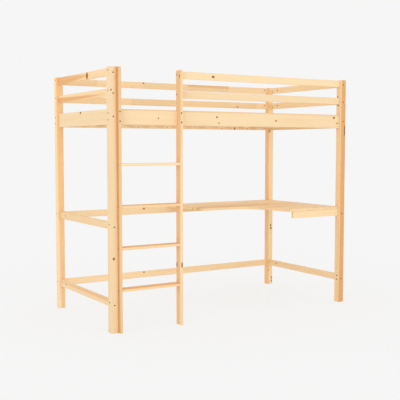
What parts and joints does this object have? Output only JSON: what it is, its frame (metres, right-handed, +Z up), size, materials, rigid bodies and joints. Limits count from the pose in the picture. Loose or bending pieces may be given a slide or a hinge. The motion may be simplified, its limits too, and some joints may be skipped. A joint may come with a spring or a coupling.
{
  "type": "loft bed with desk",
  "caption": "Pine loft bed: a slatted sleeping level with guard rails on tall square posts, a front ladder, and a corner desk panel in the space beneath.",
  "frame": {"origin": "middle of the footprint, ladder included, at floor level", "axes": "+X along the bed from the ladder end to the desk end, +Y from the ladder side to the back, +Z up"},
  "size_m": [2.085, 1.04, 1.8],
  "materials": {
    "pine_pale": "untreated planed pine",
    "pine_warm": "untreated planed pine",
    "pine_deep": "untreated planed pine",
    "zinc_steel": "zinc plated"
  },
  "bodies": {
    "root": {"post_front_left": "pine_warm", "post_front_right": "pine_warm", "post_back_left": "pine_warm", "post_back_right": "pine_warm", "guard_rail_front_upper": "pine_pale", "guard_rail_front_lower": "pine_pale", "guard_rail_back_upper": "pine_pale", "guard_rail_back_lower": "pine_pale", "guard_rail_left_upper": "pine_pale", "guard_rail_left_lower": "pine_pale", "guard_rail_right_upper": "pine_pale", "guard_rail_right_lower": "pine_pale", "side_rail_front": "pine_pale", "side_rail_back": "pine_pale", "end_rail_left": "pine_pale", "end_rail_right": "pine_pale", "middle_rail_back": "pine_pale", "middle_rail_left": "pine_pale", "middle_rail_right": "pine_pale", "low_rail_back": "pine_pale", "low_rail_left": "pine_pale", "low_rail_right": "pine_pale", "desk_support_rail": "pine_pale", "desk_top": "pine_pale", "ladder_upright_left": "pine_deep", "ladder_upright_right": "pine_deep", "ladder_tread_1": "pine_warm", "ladder_tread_2": "pine_warm", "ladder_tread_3": "pine_warm", "ladder_tread_4": "pine_warm", "slat_ledge_front": "pine_warm", "slat_ledge_back": "pine_warm", "slat_01": "pine_warm", "slat_02": "pine_warm", "slat_03": "pine_warm", "slat_04": "pine_warm", "slat_05": "pine_warm", "slat_06": "pine_warm", "slat_07": "pine_warm", "slat_08": "pine_warm", "slat_09": "pine_warm", "slat_10": "pine_warm", "slat_11": "pine_warm", "slat_12": "pine_warm", "slat_13": "pine_warm", "slat_14": "pine_warm", "slat_15": "pine_warm", "bed_bolt_front_left_side_1": "zinc_steel", "bed_bolt_front_left_side_2": "zinc_steel", "bed_bolt_front_left_end": "zinc_steel", "bed_bolt_front_right_side_1": "zinc_steel", "bed_bolt_front_right_side_2": "zinc_steel", "bed_bolt_front_right_end": "zinc_steel", "bed_bolt_back_left_side_1": "zinc_steel", "bed_bolt_back_left_side_2": "zinc_steel", "bed_bolt_back_left_end": "zinc_steel", "bed_bolt_back_right_side_1": "zinc_steel", "bed_bolt_back_right_side_2": "zinc_steel", "bed_bolt_back_right_end": "zinc_steel"}
  },
  "joints": []
}
